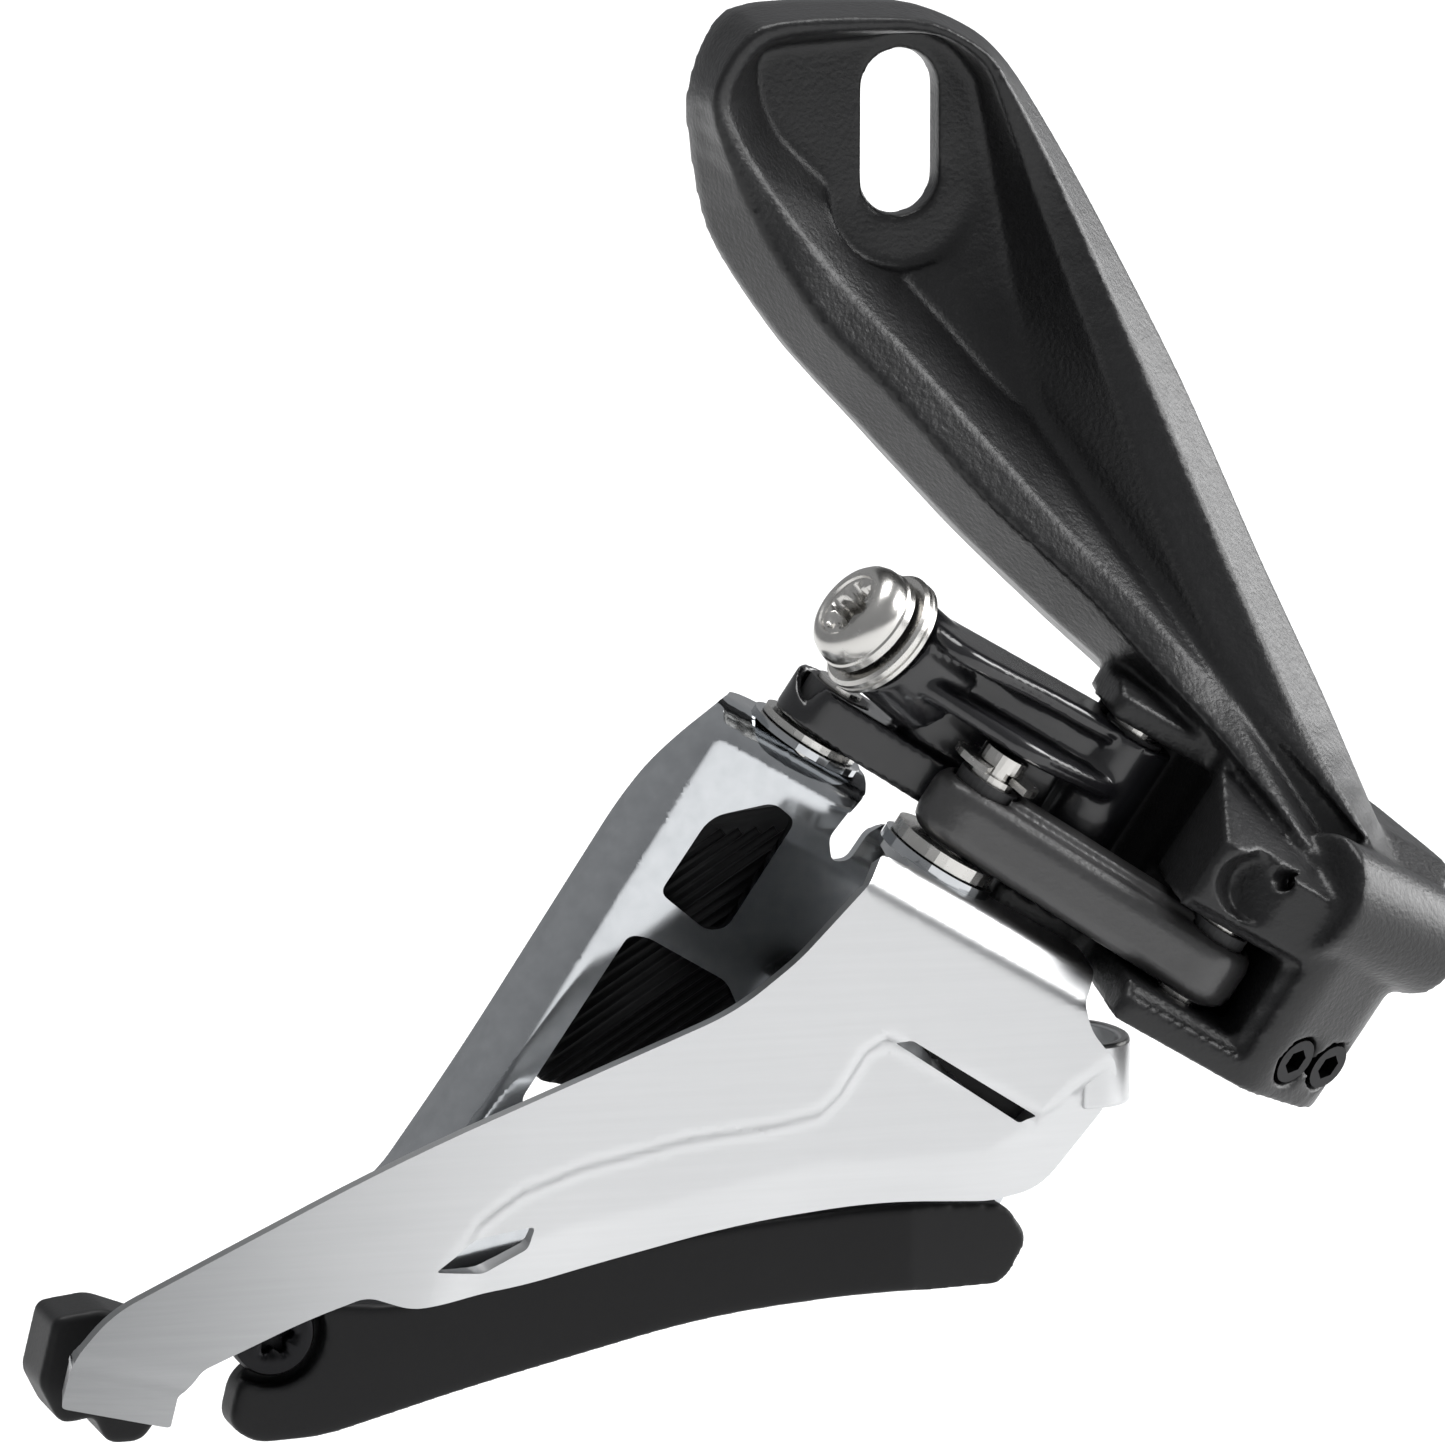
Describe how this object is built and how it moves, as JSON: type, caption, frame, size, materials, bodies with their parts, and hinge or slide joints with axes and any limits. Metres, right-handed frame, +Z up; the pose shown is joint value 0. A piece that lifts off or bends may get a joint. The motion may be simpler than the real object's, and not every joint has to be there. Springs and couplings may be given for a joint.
{
  "type": "front derailleur",
  "caption": "Side-swing bicycle front derailleur: slotted direct-mount bracket, two-link parallelogram, cable arm with clamp bolt, silver outer and chromed inner cage plates.",
  "frame": {"origin": "centre of the bracket's bolt slot on its flat back face", "axes": "+X forward on the bicycle, +Y towards the bicycle's left side and out of the back face, +Z up"},
  "size_m": [0.1193, 0.0352, 0.113],
  "materials": {
    "bracket_paint": "satin black paint",
    "link_paint": "fine matte dark grey paint",
    "gloss_black": "gloss black",
    "silver_plate": "bright satin silver",
    "chrome_plate": "polished chrome",
    "polished_steel": "turned and polished",
    "spring_steel": "drawn wire",
    "black_screw": "black oxide",
    "bush_resin": "moulded",
    "black_resin": "moulded satin"
  },
  "bodies": {
    "bracket": {"mount_bracket": "bracket_paint", "outer_base_pin": "polished_steel", "inner_base_pin": "polished_steel", "return_spring": "spring_steel"},
    "outer_link": {"outer_link": "link_paint", "outer_link_base_bush": "bush_resin", "outer_link_cage_bush": "bush_resin"},
    "inner_link": {"inner_link": "gloss_black", "inner_link_base_bush": "bush_resin", "inner_link_cage_bush": "bush_resin", "clamp_washer": "polished_steel"},
    "cage": {"outer_cage_plate": "silver_plate", "inner_cage_plate": "chrome_plate", "skid_pad": "black_resin", "inner_pad": "black_resin", "tail_bumper": "black_resin", "tail_screw": "black_screw", "front_rivet": "polished_steel", "tail_rivet": "polished_steel", "outer_cage_pin": "polished_steel", "inner_cage_pin": "polished_steel", "outer_pin_clip": "polished_steel", "outer_pin_washer": "polished_steel", "outer_pin_seal": "polished_steel", "inner_pin_washer": "polished_steel", "inner_pin_seal": "polished_steel"},
    "clamp_bolt": {"clamp_bolt": "polished_steel"},
    "low_limit_screw": {"low_limit_screw": "polished_steel"},
    "high_limit_screw": {"high_limit_screw": "polished_steel"}
  },
  "joints": [
    {"name": "outer_link_swing", "type": "hinge", "parent": "bracket", "child": "outer_link", "pos_m": [0.0185, -0.025, -0.065], "axis": [0.5072, -0.1736, 0.8441], "range_deg": [0, 28], "stiffness_Nm_per_rad": 0.2, "springref_deg": -34.38, "deforming": ["return_spring"]},
    {"name": "inner_link_swing", "type": "hinge", "parent": "bracket", "child": "inner_link", "pos_m": [0.00954, -0.01515, -0.05759], "axis": [0.5072, -0.1736, 0.8441], "range_deg": [0, 28]},
    {"name": "cage_pivot", "type": "hinge", "parent": "outer_link", "child": "cage", "pos_m": [0.00068, -0.01976, -0.05321], "axis": [0.5072, -0.1736, 0.8441], "range_deg": [-28, 0]},
    {"name": "clamp_bolt_turn", "type": "hinge", "parent": "inner_link", "child": "clamp_bolt", "pos_m": [-0.00468, -0.01598, -0.0395], "axis": [-0.7353, -0.207, 0.6454], "range_deg": [-360, 360]},
    {"name": "low_limit_screw_turn", "type": "hinge", "parent": "bracket", "child": "low_limit_screw", "pos_m": [0.02557, -0.02849, -0.07304], "axis": [0.4428, -0.7878, -0.4281], "range_deg": [-720, 720]},
    {"name": "high_limit_screw_turn", "type": "hinge", "parent": "bracket", "child": "high_limit_screw", "pos_m": [0.02928, -0.0258, -0.07425], "axis": [0.4428, -0.7878, -0.4281], "range_deg": [-720, 720]}
  ],
  "couplings": [
    {"joint": "inner_link_swing", "follows": "outer_link_swing", "ratio": 1},
    {"joint": "cage_pivot", "follows": "outer_link_swing", "ratio": -1}
  ]
}
